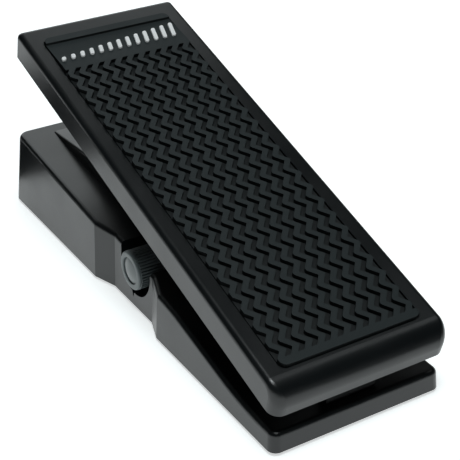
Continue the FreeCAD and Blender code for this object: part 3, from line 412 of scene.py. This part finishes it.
# %% the finishes
FINISH = {
    "black_shell": plastic("black_shell", (0.0026, 0.0042, 0.005), 0.32, 2600, 0.000018, 0.1, 0.03,
                           Specular_IOR_Level=0.58),
    "tread_rubber": plastic("tread_rubber", (0.003, 0.0052, 0.0058), 0.6, 1800, 0.00002, 0.1, 0.05,
                            Specular_IOR_Level=0.35),
    "emblem_white": plastic("emblem_white", (0.93, 0.94, 0.94), 0.45, 1500, 0.00001, 0.0, 0.05),
    "knob_grey": plastic("knob_grey", (0.105, 0.126, 0.129), 0.4, 3000, 0.000012, 0.1, 0.05),
    "knob_disc": plastic("knob_disc", (0.15, 0.17, 0.172), 0.36, 3000, 0.000008, 0.05, 0.05),
    "plate_steel": plastic("plate_steel", (0.014, 0.014, 0.015), 0.5, 1200, 0.00004, 0.1, 0.06),
    "foot_rubber": plastic("foot_rubber", (0.012, 0.012, 0.0125), 0.75, 1400, 0.00005, 0.2, 0.06),
    "gear_acetal": plastic("gear_acetal", (0.72, 0.71, 0.66), 0.4, 1500, 0.00001, 0.05, 0.04),
    "board_green": plastic("board_green", (0.012, 0.10, 0.035), 0.3, 700, 0.00002, 0.1, 0.05),
    "header_white": plastic("header_white", (0.74, 0.73, 0.66), 0.45, 1500, 0.00001, 0.05, 0.04),
    "socket_black": plastic("socket_black", (0.012, 0.012, 0.013), 0.3, 2500, 0.00001, 0.05, 0.04),
    "switch_black": plastic("switch_black", (0.016, 0.016, 0.017), 0.4, 2000, 0.00001, 0.05, 0.04),
    "bright_steel": metal("bright_steel", (0.62, 0.62, 0.60), 0.3),
    "bush_bronze": metal("bush_bronze", (0.56, 0.40, 0.20), 0.42, 1400),
    "pot_can": metal("pot_can", (0.60, 0.60, 0.58), 0.34, 700),
    "nickel": metal("nickel", (0.70, 0.67, 0.61), 0.18, 1200, 0.000002),
}
print("finishes:", len(FINISH))

# %% [markdown]
# The ridge tops take a paler colour as painted light, and the grooves stay dark as painted shade. The pad
# carries a number on each face, painted_lit_top, which is 1 on a ridge's top and 0 in a groove, and the
# rubber takes a slightly paler colour where it is 1.

# %% painted light on the ridge tops, painted shade in the grooves
# painted light: the paler rubber colour of the ridge tops; the grooves keep the darker one as painted shade
PAINTED_LIGHT_RUBBER = (0.0115, 0.018, 0.0195)


def paint_lit_tops(material, lit_colour):
    """Puts a paler colour over the finish's own as painted light, wherever the piece's mask says that it is
    a ridge top.
    """
    tree = material.node_tree
    shader = tree.nodes["Principled BSDF"]
    own_colour = shader.inputs["Base Color"].links[0].from_socket
    mask = tree.nodes.new("ShaderNodeAttribute")
    mask.attribute_name = "painted_lit_top"
    mix = blend_colour(material, mask.outputs["Fac"], lit_colour, lit_colour, shader.inputs["Base Color"])
    tree.links.new(own_colour, [item for item in mix.inputs if item.type == "RGBA"][0])


paint_lit_tops(FINISH["tread_rubber"], PAINTED_LIGHT_RUBBER)

# %% [markdown]
# Each hard part keeps its mesh and gets its finish. A name's ending says what most parts are made of, and
# the few that it doesn't are listed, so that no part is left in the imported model's plain colour.

# %% finishes for the parts that keep their shape
PART_FINISH = {
    "base_shell": "black_shell", "treadle_shell": "black_shell", "tread_pad": "tread_rubber",
    "pad_emblem": "emblem_white", "range_knob": "knob_grey", "knob_cap": "knob_disc",
    "bottom_plate": "plate_steel", "sector_gear": "gear_acetal", "sensor_pinion": "gear_acetal",
    "circuit_board": "board_green", "range_pot_body": "pot_can", "sensor_pot_body": "pot_can",
    "jack_socket": "socket_black", "jack_washer": "nickel", "jack_nut": "nickel",
    "polarity_switch_body": "switch_black", "polarity_switch_slider": "header_white",
}
ENDINGS = (("_header", "header_white"), ("_buffer", "foot_rubber"), ("foot_", "foot_rubber"),
           ("pivot_bush", "bush_bronze"), ("friction_washer", "gear_acetal"))


def finish_for(node):
    """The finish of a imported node, by its own name or by a part of it."""
    if node in PART_FINISH:
        return PART_FINISH[node]
    return next((finish for part, finish in ENDINGS if part in node), "bright_steel")


for name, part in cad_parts.items():
    part.data.materials.clear()
    part.data.materials.append(FINISH[finish_for(name)])
print("parts finished:", len(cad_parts))

# %% [markdown]
# A finished piece is a mesh whose place is in its points, so its object stays at the origin. Faces are
# shaded smooth, and edges sharper than a set angle stay crisp.

# %% from a bmesh to a piece that rides on a body
CRISP = math.radians(35)


def make_piece(name, bm, finish, body, replaced, place):
    """Writes a bmesh to a new piece, finishes it and hands it to its body."""
    bmesh.ops.transform(bm, matrix=place, verts=bm.verts)
    bmesh.ops.recalc_face_normals(bm, faces=bm.faces)
    mesh = bpy.data.meshes.new(name)
    bm.to_mesh(mesh)
    bm.free()
    mesh.polygons.foreach_set("use_smooth", [True] * len(mesh.polygons))
    mesh.set_sharp_from_angle(angle=CRISP)
    piece = bpy.data.objects.new(name, mesh)
    bpy.context.scene.collection.objects.link(piece)
    mesh.materials.append(FINISH[finish])
    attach(piece, body)
    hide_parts(replaced)
    print(name, "faces:", len(mesh.polygons))


def new_points(made):
    """The vertices among what an extrusion made."""
    return [item for item in made["geom"] if isinstance(item, bmesh.types.BMVert)]


# %% [markdown]
# The tread is one rubber moulding: eleven ridges that zigzag along the foot, with grooves between them, a
# plain band at each end and a panel at the toe that ramps down to make room for the raised mark. The
# whole top can be drawn as one cloth of quads: a line of points across the pad, pulled along it row by
# row, stepping right and left. Its groove faces are then pushed down, and the corners are rounded as the
# mould's are.

# %% tread pad: driving sizes
PITCH, RIDGE, SWAY, HALF_STEP = 6.1, 3.35, 3.9, 4.68
RIDGES = 11
FIRST_RIDGE = -34.5
BAND = 3.9
FIRST_TURN = 7.1
TREAD_END = 193.4
PANEL_START, PANEL_END = 197.4, 215.1
PANEL_DROP = 1.3
GROOVE_DEEP = 1.9
CORNER = 3.0
BORDER_IN = 0.25
BORDER = FIRST_RIDGE + (RIDGES - 1) * PITCH + RIDGE + SWAY - BORDER_IN
SIDE_EASE = 0.25
TURN_ROUND, EDGE_ROUND, RIM_ROUND = 1.3, 0.3, 0.22
SHARP = math.radians(40)
ON_LINE, NEARLY_ONE = 0.001, 0.999
pad_half = (pad_high.x - pad_low.x) / 2 / MM - SIDE_EASE
pad_long = (pad_high.y - pad_low.y) / MM
pad_thick = (pad_high.z - pad_low.z) / MM
floor_level = pad_thick - GROOVE_DEEP


def tread_rows():
    """(distance along, sideways step, height, is it tread) for each row of points."""
    slope = SWAY / HALF_STEP
    rows = [(BAND, SWAY - (FIRST_TURN - BAND) * slope, pad_thick, False)]
    turn = 0
    while FIRST_TURN + turn * HALF_STEP < TREAD_END:
        sway = SWAY if turn % 2 == 0 else 0.0
        rows.append((FIRST_TURN + turn * HALF_STEP, sway, pad_thick, True))
        turn += 1
    last = rows[-1]
    rest = (TREAD_END - last[0]) * slope
    rows.append((TREAD_END, last[1] + rest if last[1] == 0 else last[1] - rest, pad_thick, True))
    rows.append((PANEL_START, rows[-1][1], pad_thick, False))
    rows.append((PANEL_END, rows[-1][1], pad_thick - PANEL_DROP, False))
    rows.append((PANEL_END, rows[-1][1], pad_thick, False))
    rows.append((pad_long, rows[-1][1], pad_thick, False))
    return rows


ROWS = tread_rows()
print("rows along the tread:", len(ROWS))

# %% [markdown]
# Each pull of the row is an edge extrusion. A number kept on the faces marks the grooves, and it survives
# the cuts that trim the cloth to the pad's width and that mark off its right-hand border.

# %% tread pad: the cloth of ridges and grooves
def tread_cloth():
    """The pad's top as one sheet, trimmed to the pad's sides, with its grooves marked."""
    bm = bmesh.new()
    groove = bm.faces.layers.int.new("groove")
    band = bm.faces.layers.int.new("band")
    edge_strip = bm.faces.layers.int.new("edge_strip")
    across = [FIRST_RIDGE - PITCH]
    for ridge in range(RIDGES):
        across += [FIRST_RIDGE + ridge * PITCH, FIRST_RIDGE + ridge * PITCH + RIDGE]
    across.append(FIRST_RIDGE + RIDGES * PITCH + PITCH)
    start = [bm.verts.new((x + ROWS[0][1], 0, pad_thick)) for x in across]
    edges = [bm.edges.new(pair) for pair in zip(start, start[1:])]
    before = (0, ROWS[0][1], pad_thick)
    for number, (along, sway, height, is_tread) in enumerate(ROWS, 1):
        made = bmesh.ops.extrude_edge_only(bm, edges=edges)
        step = (sway - before[1], along - before[0], height - before[2])
        bmesh.ops.translate(bm, vec=step, verts=new_points(made))
        edges = [item for item in made["geom"] if isinstance(item, bmesh.types.BMEdge)]
        edges = [edge for edge in edges if all(vert in new_points(made) for vert in edge.verts)]
        for face in (item for item in made["geom"] if isinstance(item, bmesh.types.BMFace)):
            middle = face.calc_center_median().x - (sway + before[1]) / 2
            share = (middle - FIRST_RIDGE) % PITCH
            face[groove] = int(is_tread and (share > RIDGE or middle < FIRST_RIDGE))
            face[band] = 0 if is_tread else number
            face[edge_strip] = int(is_tread and middle > FIRST_RIDGE + RIDGES * PITCH - PITCH + RIDGE)
        before = (along, sway, height)
    bmesh.ops.bisect_plane(bm, geom=[*bm.verts, *bm.edges, *bm.faces], plane_co=(BORDER, 0, 0),
                           plane_no=(1, 0, 0), dist=0.0001)
    for face in bm.faces:
        if face[edge_strip] and face.calc_center_median().x < BORDER:
            face[groove] = 1
    for side in (-1, 1):
        bmesh.ops.bisect_plane(bm, geom=[*bm.verts, *bm.edges, *bm.faces], plane_co=(side * pad_half, 0, 0),
                               plane_no=(side, 0, 0), clear_outer=True, dist=0.0001)
    plain = [edge for edge in bm.edges if len(edge.link_faces) == 2
             and edge.link_faces[0][band] == edge.link_faces[1][band] > 0]
    bmesh.ops.dissolve_edges(bm, edges=plain, use_verts=True)
    return bm, groove


# %% [markdown]
# The cloth's rim is pulled down to the pad's underside, and the four upright corners are rounded. A cut
# all round at groove level then lets the outermost grooves run out through the pad's sides, as the real
# ones do.

# %% tread pad: sides, grooves and roundings
def upright(edge):
    """True for an edge that stands straight up."""
    run = edge.verts[0].co - edge.verts[1].co
    return abs(run.z) > 0.01 and math.hypot(run.x, run.y) < 0.001


def pad_sides(bm):
    """Pulls the rim down, closes the underside and rounds the four corners."""
    rim = [edge for edge in bm.edges if edge.is_boundary]
    made = bmesh.ops.extrude_edge_only(bm, edges=rim)
    for vert in new_points(made):
        vert.co.z = 0
    bmesh.ops.holes_fill(bm, edges=[edge for edge in bm.edges if edge.is_boundary], sides=0)
    ends = (0, pad_long)
    corners = [edge for edge in bm.edges if upright(edge) and abs(abs(edge.verts[0].co.x) - pad_half) < 0.01
               and min(abs(edge.verts[0].co.y - end) for end in ends) < 0.01]
    bmesh.ops.bevel(bm, geom=corners, offset=CORNER, segments=6, profile=0.5, affect="EDGES", material=-1)
    bmesh.ops.bisect_plane(bm, geom=[*bm.verts, *bm.edges, *bm.faces], plane_co=(0, 0, floor_level),
                           plane_no=(0, 0, 1), dist=0.0001)


def press_grooves(bm, groove):
    """Pushes the groove faces down, open at the pad's sides."""
    low = [face for face in bm.faces if face[groove] and abs(face.normal.z) > 0.9
           and face.calc_center_median().z > floor_level]
    outer = {side for face in low for edge in face.edges for side in edge.link_faces
             if abs(side.normal.x) > 0.9 and abs(abs(side.calc_center_median().x) - pad_half) < 0.01}
    bmesh.ops.delete(bm, geom=list(outer), context="FACES_ONLY")
    made = bmesh.ops.extrude_face_region(bm, geom=low)
    bmesh.ops.translate(bm, vec=(0, 0, -GROOVE_DEEP), verts=new_points(made))
    bmesh.ops.delete(bm, geom=[face for face in low if face.is_valid], context="FACES_ONLY")
    flat = [face for face in bm.faces
            if all(abs(abs(vert.co.x) - pad_half) < 0.001 for vert in face.verts)
            and face.calc_center_median().z > floor_level and not any(
                abs(other.normal.z) > 0.9 and other.calc_center_median().z > pad_thick - PANEL_DROP - 0.01
                for edge in face.edges for other in edge.link_faces)]
    bmesh.ops.delete(bm, geom=flat, context="FACES")
    loose = [edge for edge in bm.edges if not edge.link_faces]
    bmesh.ops.delete(bm, geom=loose, context="EDGES")
    bmesh.ops.remove_doubles(bm, verts=bm.verts, dist=0.001)


def round_turns(bm):
    """Rounds the left turns of the ridges well and their other corners a little."""
    left_turns = {round(row[0], 2) for row in ROWS if row[3] and row[1] == 0}
    wide, slight = [], []
    for edge in bm.edges:
        if not upright(edge) or len(edge.link_faces) != 2 or abs(edge.verts[0].co.x) > pad_half - 0.3:
            continue
        across = (edge.verts[0].co.x - FIRST_RIDGE) % PITCH
        turns_left = round(edge.verts[0].co.y, 2) in left_turns
        (wide if turns_left and min(across, PITCH - across) < 0.1 else slight).append(edge)
    bmesh.ops.bevel(bm, geom=wide, offset=TURN_ROUND, segments=4, profile=0.5, affect="EDGES", material=-1)
    slight = [edge for edge in slight if edge.is_valid]
    bmesh.ops.bevel(bm, geom=slight, offset=EDGE_ROUND, segments=2, profile=0.5,
                    affect="EDGES", material=-1)
    rims = [edge for edge in bm.edges if len(edge.link_faces) == 2 and edge.is_convex
            and edge.calc_face_angle(0) > SHARP
            and min(vert.co.z for vert in edge.verts) > floor_level + 0.1 and not upright(edge)]
    bmesh.ops.bevel(bm, geom=rims, offset=RIM_ROUND, segments=2, profile=0.5, affect="EDGES", material=-1,
                    clamp_overlap=True)


def touching(bm):
    """An open edge and another open edge's end that lies on it, with how far along, or None."""
    open_edges = [edge for edge in bm.edges if edge.is_boundary]
    for edge in open_edges:
        start, end = (vert.co for vert in edge.verts)
        run = end - start
        for vert in (vert for other in open_edges for vert in other.verts if vert not in edge.verts):
            share = (vert.co - start).dot(run) / run.length_squared
            if ON_LINE < share < NEARLY_ONE and (start + run * share - vert.co).length < ON_LINE:
                return edge, share
    return None


def close_seams(bm):
    """Splits open edges where another one's end touches them, so that merging closes the seam."""
    found = touching(bm)
    while found:
        edge, share = found
        bmesh.utils.edge_split(edge, edge.verts[0], share)
        bmesh.ops.remove_doubles(bm, verts=bm.verts, dist=0.0005)
        found = touching(bm)


pad_bm, groove_mark = tread_cloth()
pad_sides(pad_bm)
press_grooves(pad_bm, groove_mark)
round_turns(pad_bm)
close_seams(pad_bm)
bmesh.ops.recalc_face_normals(pad_bm, faces=pad_bm.faces)
# painted shade and light: 1 on the ridge tops, which take the paler colour, 0 in the darker grooves
painted_lit_top = pad_bm.faces.layers.float.new("painted_lit_top")
for face in pad_bm.faces:
    face[painted_lit_top] = float(face.normal.z > 0.6 and face.calc_center_median().z > floor_level + GROOVE_DEEP / 2)
print("open edges in the tread:", sum(1 for edge in pad_bm.edges if edge.is_boundary))
pad_place = lean_turn @ Matrix.Translation(((pad_low.x + pad_high.x) / 2, pad_low.y, pad_low.z))
pad_place = pad_place @ Matrix.Scale(MM, 4)
make_piece("tread_rubber_pad", pad_bm, "tread_rubber", "treadle", "tread_pad", pad_place)

# %% [markdown]
# The raised mark is white, and printed or moulded in thin rounded strokes. Here it is a plain level
# scale: thirteen slanted bars that grow towards the loud end. A bar starts as one flat face; its four
# corners are rounded, the face is pulled up, and its top rim is softened.

# %% the raised level scale
BARS = 13
BAR_PITCH, BAR_WIDE, BAR_RAISED = 4.9, 2.2, 1.0
BAR_START = 200.0
BAR_SHORT, BAR_GROWTH, BAR_SLANT = 2.6, 0.68, 0.27
BAR_SHIFT, BAR_SUNK = 1.4, 0.05
BAR_CORNER, BAR_SOFT = 0.95, 0.3
ramp = math.atan2(PANEL_DROP, PANEL_END - PANEL_START)


def level_bar(bm, left, tall):
    """One slanted bar, drawn flat at the ramp's start and pulled up."""
    face = bmesh.ops.create_grid(bm, x_segments=1, y_segments=1, size=0.5)["verts"]
    bmesh.ops.scale(bm, vec=(BAR_WIDE, tall, 1), verts=face)
    bmesh.ops.translate(bm, vec=(0, tall / 2, 0), verts=face)
    slant = Matrix.Identity(4)
    slant[0][1] = BAR_SLANT
    bmesh.ops.transform(bm, matrix=slant, verts=face)
    bmesh.ops.translate(bm, vec=(left, 0, 0), verts=face)
    rounded = bmesh.ops.bevel(bm, geom=face, offset=BAR_CORNER, segments=5, profile=0.5,
                              affect="VERTICES", material=-1)
    outline = dict.fromkeys(face for vert in rounded["verts"] for face in vert.link_faces)
    made = bmesh.ops.extrude_face_region(bm, geom=list(outline))
    bmesh.ops.translate(bm, vec=(0, 0, BAR_RAISED), verts=new_points(made))
    top = [item for item in made["geom"] if isinstance(item, bmesh.types.BMFace)]
    rim = dict.fromkeys(edge for face in top for edge in face.edges)
    bmesh.ops.bevel(bm, geom=list(rim), offset=BAR_SOFT, segments=3, profile=0.5,
                    affect="EDGES", material=-1)


def level_scale():
    """All the bars, on the panel's ramp."""
    bm = bmesh.new()
    for bar in range(BARS):
        left = (bar - (BARS - 1) / 2) * BAR_PITCH - BAR_SHIFT
        level_bar(bm, left, BAR_SHORT + bar * BAR_GROWTH)
    on_ramp = Matrix.Translation((0, BAR_START - PANEL_START, -BAR_SUNK))
    tip = Matrix.Translation((0, PANEL_START, pad_thick)) @ Matrix.Rotation(-ramp, 4, "X")
    place = pad_place @ tip @ on_ramp
    make_piece("level_scale_mark", bm, "emblem_white", "treadle", "pad_emblem", place)


level_scale()

# %% [markdown]
# The knob is a turned shape with a smooth rim and forty grip ridges behind it. Spinning a profile gives
# the blank. Every second face of its long band is inset and pushed in, which leaves rounded ridges
# between sloping grooves. The face is a separate domed disc that stands in a seat, and a thin gap all
# round sets it off.

# %% the range knob and its disc
knob_low, knob_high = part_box("range_knob")
knob_radius = (knob_high.z - knob_low.z) / 2 / MM
knob_long = (knob_high.x - knob_low.x) / MM
cap_low, cap_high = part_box("knob_cap")
cap_radius = (cap_high.z - cap_low.z) / 2 / MM
KNOB_RIDGES = 40
RIM = 1.6
ARC_STEPS = 5
SEAT_GAP = 0.25
SEAT_DEEP = 2.2
GRIP_WIDTH, GRIP_DEEP, GRIP_ROUND, GRIP_END = 0.2, 0.7, 0.12, 1.0
DISC_STEPS = 64
DOME_RISE, DOME_PROUD, DOME_STEPS = 1.3, 0.5, 10
# local z runs out of the knob's face; the turn sends it to the row's -X
knob_middle = Vector((knob_high.x, (knob_low.y + knob_high.y) / 2, (knob_low.z + knob_high.z) / 2))
knob_turn = Matrix.Rotation(math.radians(-90), 4, "Y")
knob_place = Matrix.Translation(knob_middle) @ knob_turn @ Matrix.Scale(MM, 4)


def spun(bm, profile, steps):
    """Turns a profile of (radius, height) points about the z axis into a closed skin."""
    points = [bm.verts.new((radius, 0, height)) for radius, height in profile]
    edges = [bm.edges.new(pair) for pair in zip(points, points[1:])]
    bmesh.ops.spin(bm, geom=[*points, *edges], cent=(0, 0, 0), axis=(0, 0, 1), dvec=(0, 0, 0),
                   angle=math.tau, steps=steps, use_merge=True, use_duplicate=False)
    bmesh.ops.remove_doubles(bm, verts=bm.verts, dist=0.0005)
    bmesh.ops.recalc_face_normals(bm, faces=bm.faces)


def arc_points(centre_radius, centre_height, radius, first, last):
    """Points of an arc in the profile, from one angle to another in degrees."""
    angles = [math.radians(first + (last - first) * step / ARC_STEPS) for step in range(ARC_STEPS + 1)]
    return [(centre_radius + radius * math.cos(a), centre_height + radius * math.sin(a)) for a in angles]


def range_knob():
    """The knob's body: back, grip band, rim, face ring and the seat for the disc."""
    bm = bmesh.new()
    seat = cap_radius + SEAT_GAP
    grip_top = knob_long - RIM
    profile = [(0, 0.0), (knob_radius - 0.6, 0.0), (knob_radius - 0.05, 0.5), (knob_radius - 0.05, grip_top),
               (knob_radius - 0.3, grip_top + 0.15)]
    profile += arc_points(knob_radius - 1.1, knob_long - 1.0, 1.0, 8, 90)
    profile += [(seat + 0.35, knob_long - 0.02), (seat + 0.1, knob_long - 0.12), (seat, knob_long - 0.4),
                (seat, knob_long - SEAT_DEEP), (0, knob_long - SEAT_DEEP)]
    spun(bm, profile, KNOB_RIDGES * 2)
    band = [face for face in bm.faces if GRIP_END < face.calc_center_median().z < grip_top - GRIP_END
            and abs(face.normal.z) < 0.2 and face.calc_center_median().length > seat + 1.0]
    band.sort(key=lambda face: math.atan2(face.calc_center_median().y, face.calc_center_median().x))
    bmesh.ops.inset_individual(bm, faces=band[::2], thickness=GRIP_WIDTH, depth=-GRIP_DEEP,
                               use_even_offset=True)
    edges = [edge for edge in bm.edges if edge.is_convex and edge.calc_face_angle(0) > math.radians(25)
             and 0.4 < edge.calc_length() and abs(edge.verts[0].co.z - edge.verts[1].co.z) > 2]
    bmesh.ops.bevel(bm, geom=edges, offset=GRIP_ROUND, segments=2, profile=0.5, affect="EDGES", material=-1)
    make_piece("range_knob_grip", bm, "knob_grey", "range_knob", "range_knob", knob_place)


def knob_disc():
    """The disc: a dome that stands in the seat, a little proud of the ring."""
    bm = bmesh.new()
    sphere = (cap_radius ** 2 + DOME_RISE ** 2) / (2 * DOME_RISE)
    middle = knob_long + DOME_PROUD - sphere
    widest = math.asin(cap_radius / sphere)
    arc = [widest * (1 - step / DOME_STEPS) for step in range(DOME_STEPS + 1)]
    profile = [(0, knob_long - SEAT_DEEP), (cap_radius, knob_long - SEAT_DEEP)]
    profile += [(sphere * math.sin(angle), middle + sphere * math.cos(angle)) for angle in arc]
    spun(bm, profile, DISC_STEPS)
    make_piece("range_knob_disc", bm, "knob_disc", "range_knob", "knob_cap", knob_place)


range_knob()
knob_disc()
